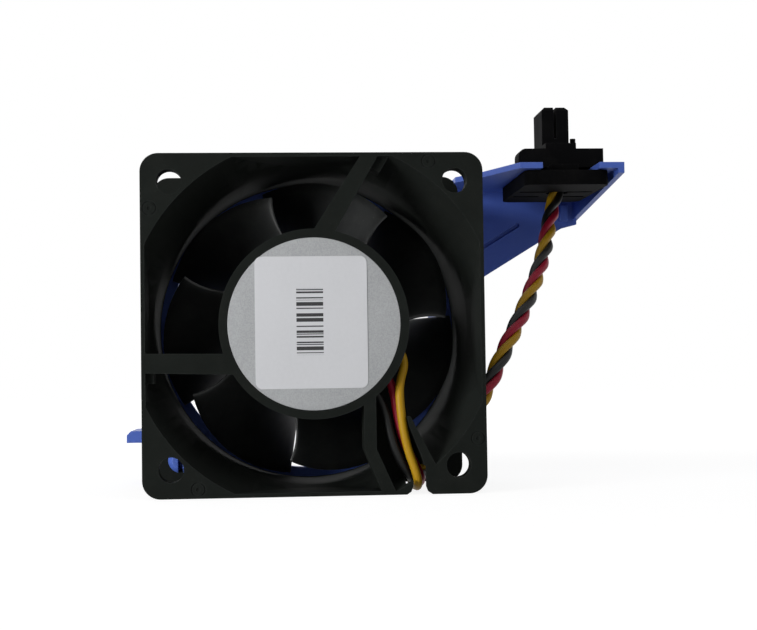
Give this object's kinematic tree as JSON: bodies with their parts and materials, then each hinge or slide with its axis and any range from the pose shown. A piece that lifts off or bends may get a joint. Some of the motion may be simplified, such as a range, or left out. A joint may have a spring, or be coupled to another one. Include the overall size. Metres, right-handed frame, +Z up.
{
  "type": "server fan module",
  "caption": "Square axial fan with a strutted outlet frame, clipped in a blue carrier whose side arm holds an upright panel connector fed by a twisted lead.",
  "frame": {"origin": "centre of the four mounting holes, on the outlet face of the fan", "axes": "+X towards the connector arm, +Y from the outlet face to the inlet face along the fan axis, +Z up"},
  "size_m": [0.1003, 0.08, 0.0771],
  "materials": {
    "frame_plastic": "moulded, fine satin texture",
    "impeller_plastic": "moulded, semi-gloss",
    "carrier_plastic": "moulded, satin",
    "connector_plastic": "moulded, satin",
    "label_film": "silver-grey film",
    "sticker_paper": "smooth white paper",
    "yoke_steel": "drawn steel",
    "magnet_rubber": "bonded ferrite",
    "bearing_steel": "ground",
    "brass_parts": "turned",
    "core_steel": "stacked laminations",
    "insulator_plastic": "moulded, natural nylon",
    "copper_wire": "enamelled copper wire",
    "board_laminate": "solder mask",
    "chip_plastic": "moulded epoxy",
    "capacitor_can": "drawn can",
    "contact_metal": "formed strip, tinned",
    "yellow_insulation": "extruded PVC",
    "red_insulation": "extruded PVC",
    "black_insulation": "extruded PVC"
  },
  "bodies": {
    "module": {"bearing_tube": "brass_parts", "carrier": "carrier_plastic", "connector_contacts": "contact_metal", "connector_housing": "connector_plastic", "driver_chip": "chip_plastic", "fan_frame": "frame_plastic", "front_bearing_outer_ring": "bearing_steel", "front_insulator": "insulator_plastic", "hall_sensor": "chip_plastic", "hub_label": "label_film", "lead_black": "black_insulation", "lead_red": "red_insulation", "lead_yellow": "yellow_insulation", "motor_circuit_board": "board_laminate", "paper_sticker": "sticker_paper", "rear_bearing_outer_ring": "bearing_steel", "rear_insulator": "insulator_plastic", "smoothing_capacitor": "capacitor_can", "stator_core": "core_steel", "stator_windings": "copper_wire", "twisted_lead": "red_insulation"},
    "rotor": {"bearing_balls": "bearing_steel", "front_bearing_inner_ring": "bearing_steel", "impeller": "impeller_plastic", "magnet_ring": "magnet_rubber", "preload_spring": "bearing_steel", "rear_bearing_inner_ring": "bearing_steel", "rotor_yoke": "yoke_steel", "shaft": "bearing_steel", "shaft_bushing": "brass_parts", "shaft_clip": "bearing_steel"}
  },
  "joints": [
    {"name": "rotor_spin", "type": "hinge", "parent": "module", "child": "rotor", "pos_m": [0, 0.02, 0], "axis": [0, 1, 0], "continuous": true}
  ]
}
